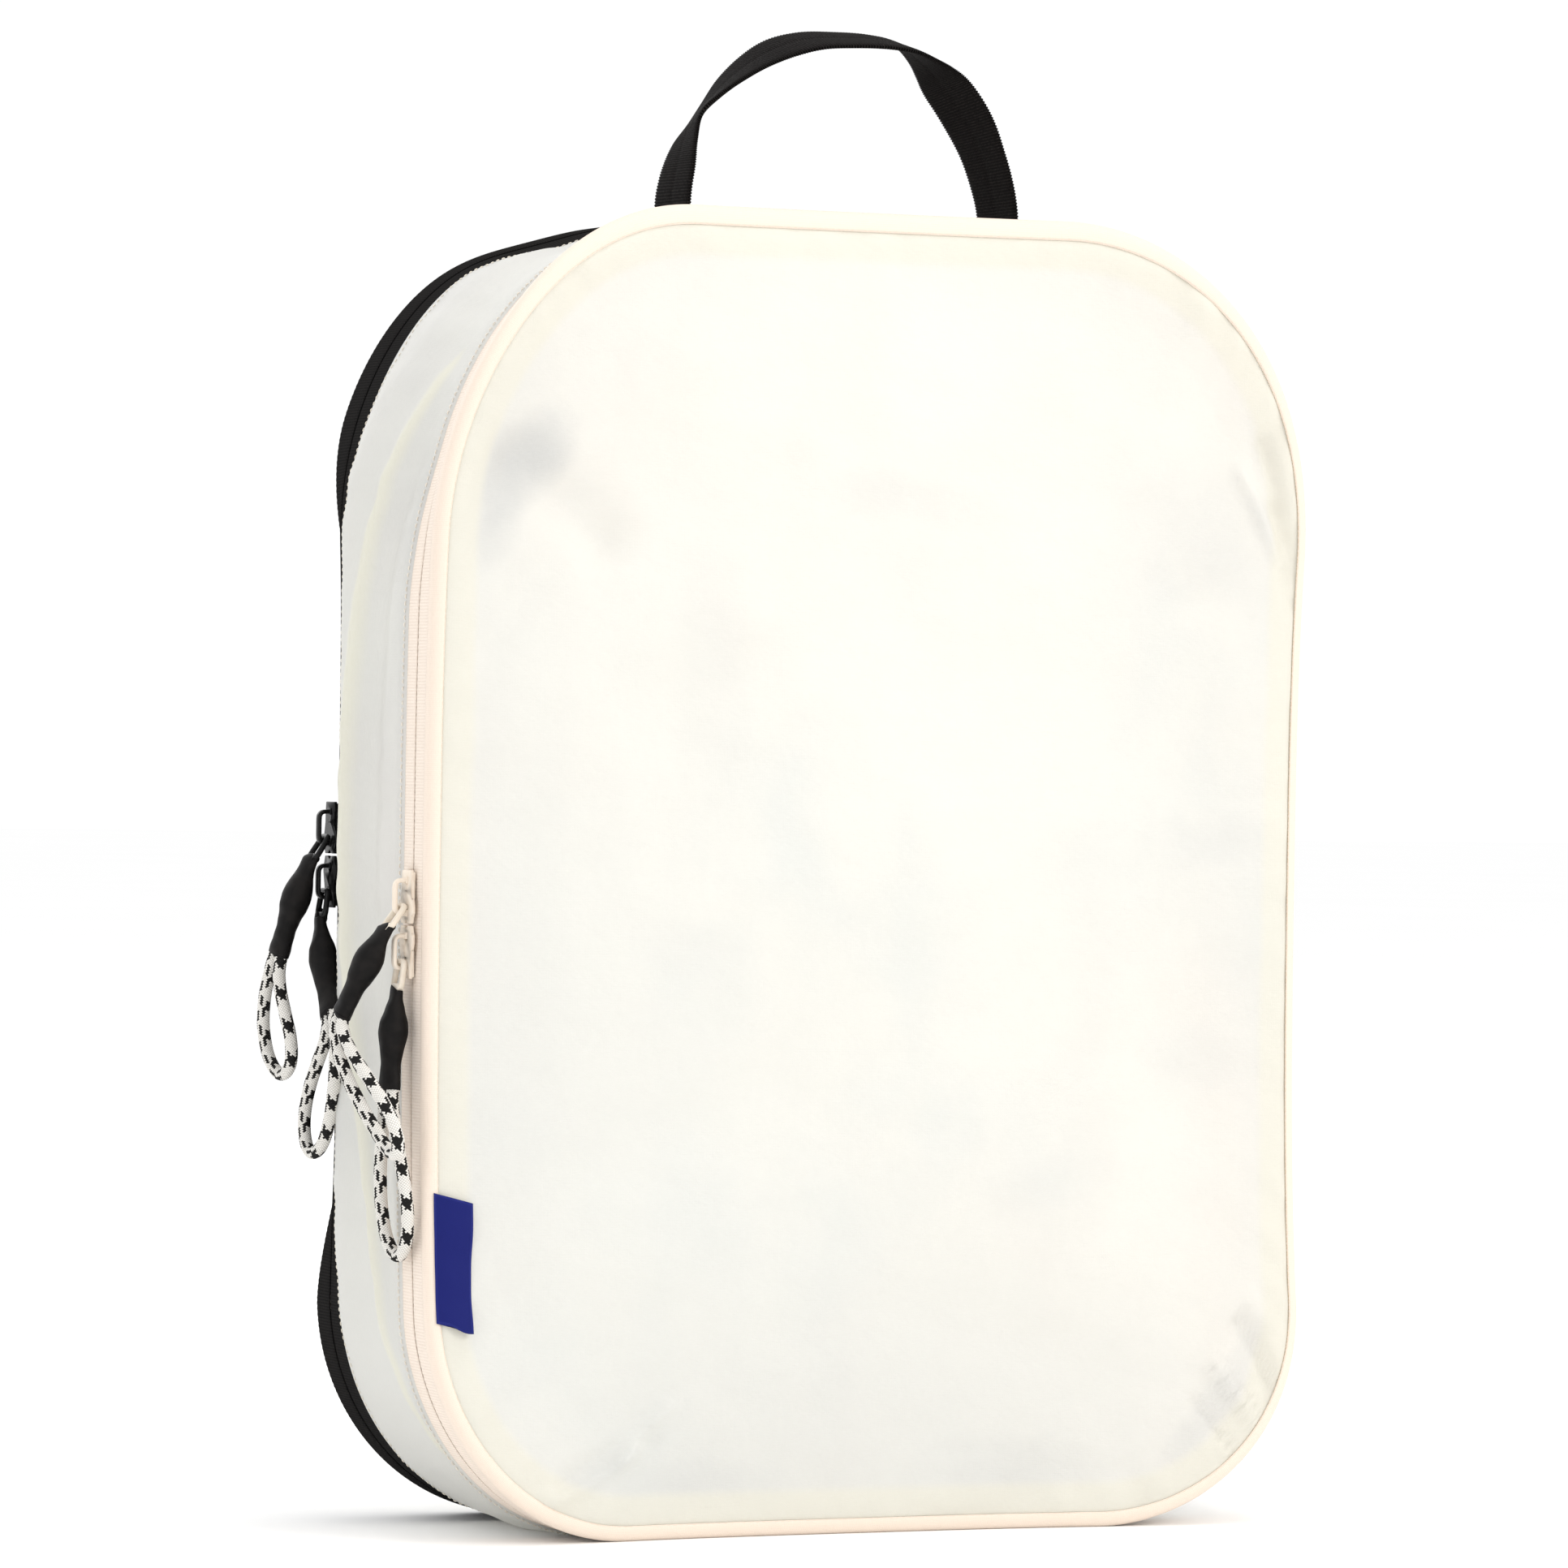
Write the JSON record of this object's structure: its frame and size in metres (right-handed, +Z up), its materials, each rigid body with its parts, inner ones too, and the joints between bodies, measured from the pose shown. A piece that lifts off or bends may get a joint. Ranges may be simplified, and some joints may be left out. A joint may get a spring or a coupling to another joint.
{
  "type": "packing cube",
  "caption": "Soft zipped compression packing cube with a webbing handle, cord zipper pulls and an expanding back.",
  "frame": {"origin": "middle of the bottom face that the cube stands on", "axes": "+Z up to the handle, +X to the right seen from the front, the front panel faces -Y"},
  "size_m": [0.2806, 0.1012, 0.4118],
  "materials": {
    "white_ripstop": "thin translucent coated ripstop",
    "cream_tape": "woven tape",
    "cream_coil": "nylon coil",
    "black_tape": "woven tape",
    "black_coil": "nylon coil",
    "black_webbing": "ribbed webbing",
    "navy_label": "woven satin label",
    "white_satin": "satin",
    "cream_enamel": "satin enamel",
    "black_enamel": "gloss enamel",
    "cream_plastic": "satin",
    "black_plastic": "satin",
    "black_shrink_sleeve": "matt heat-shrink tube",
    "braided_cord": "braided white cord with black tracers"
  },
  "bodies": {
    "shell": {"side_gusset": "white_ripstop", "front_tape_body": "cream_tape", "front_coil_body": "cream_coil", "rear_tape_body": "black_tape", "rear_coil_body": "black_coil", "front_gusset_binding": "white_ripstop", "rear_gusset_binding": "white_ripstop", "lid_hinge_strip": "white_ripstop", "front_zipper_stops": "cream_tape", "rear_zipper_stop": "black_tape", "handle_anchors": "black_webbing", "expansion_gusset": "white_ripstop"},
    "lid": {"front_panel": "white_ripstop", "front_tape_lid": "cream_tape", "front_coil_lid": "cream_coil", "lid_binding": "cream_tape", "side_label": "navy_label", "care_label": "white_satin"},
    "back": {"back_panel": "white_ripstop", "rear_tape_back": "black_tape", "rear_coil_back": "black_coil", "back_binding": "black_tape"},
    "handle": {"carry_handle": "black_webbing"},
    "front_slider_upper_body": {"front_slider_upper": "cream_enamel"},
    "front_pull_upper": {"front_link_upper": "cream_plastic", "front_sleeve_upper": "black_shrink_sleeve", "front_cord_upper": "braided_cord"},
    "front_slider_lower_body": {"front_slider_lower": "cream_enamel"},
    "front_pull_lower": {"front_link_lower": "cream_plastic", "front_sleeve_lower": "black_shrink_sleeve", "front_cord_lower": "braided_cord"},
    "rear_slider_upper_body": {"rear_slider_upper": "black_enamel"},
    "rear_pull_upper": {"rear_link_upper": "black_plastic", "rear_sleeve_upper": "black_shrink_sleeve", "rear_cord_upper": "braided_cord"},
    "rear_slider_lower_body": {"rear_slider_lower": "black_enamel"},
    "rear_pull_lower": {"rear_link_lower": "black_plastic", "rear_sleeve_lower": "black_shrink_sleeve", "rear_cord_lower": "braided_cord"}
  },
  "joints": [
    {"name": "lid_open", "type": "hinge", "parent": "shell", "child": "lid", "pos_m": [0.13, -0.041, 0.165], "axis": [0, 0, 1], "range_deg": [0, 160]},
    {"name": "back_expand", "type": "slide", "parent": "shell", "child": "back", "axis": [0, 1, 0], "range_m": [0, 0.03], "deforming": ["expansion_gusset"]},
    {"name": "handle_fold", "type": "hinge", "parent": "shell", "child": "handle", "pos_m": [0, -0.009, 0.371], "axis": [1, 0, 0], "range_deg": [-75, 75]},
    {"name": "front_slider_upper_slide", "type": "slide", "parent": "shell", "child": "front_slider_upper_body", "axis": [0, 0, 1], "range_m": [0, 0.085]},
    {"name": "front_pull_upper_swing", "type": "hinge", "parent": "front_slider_upper_body", "child": "front_pull_upper", "pos_m": [-0.1329, -0.029, 0.1704], "axis": [0, 1, 0], "range_deg": [0, 100], "deforming": ["front_cord_upper"]},
    {"name": "front_slider_lower_slide", "type": "slide", "parent": "shell", "child": "front_slider_lower_body", "axis": [0, 0, 1], "range_m": [-0.07, 0]},
    {"name": "front_pull_lower_swing", "type": "hinge", "parent": "front_slider_lower_body", "child": "front_pull_lower", "pos_m": [-0.1329, -0.029, 0.1556], "axis": [0, 1, 0], "range_deg": [0, 20], "deforming": ["front_cord_lower"]},
    {"name": "rear_slider_upper_slide", "type": "slide", "parent": "shell", "child": "rear_slider_upper_body", "axis": [0, 0, 1], "range_m": [0, 0.07]},
    {"name": "rear_pull_upper_swing", "type": "hinge", "parent": "rear_slider_upper_body", "child": "rear_pull_upper", "pos_m": [-0.1329, 0.03, 0.1879], "axis": [0, 1, 0], "range_deg": [0, 100], "deforming": ["rear_cord_upper"]},
    {"name": "rear_slider_lower_slide", "type": "slide", "parent": "shell", "child": "rear_slider_lower_body", "axis": [0, 0, 1], "range_m": [-0.095, 0]},
    {"name": "rear_pull_lower_swing", "type": "hinge", "parent": "rear_slider_lower_body", "child": "rear_pull_lower", "pos_m": [-0.1329, 0.03, 0.1731], "axis": [0, 1, 0], "range_deg": [0, 15], "deforming": ["rear_cord_lower"]}
  ]
}
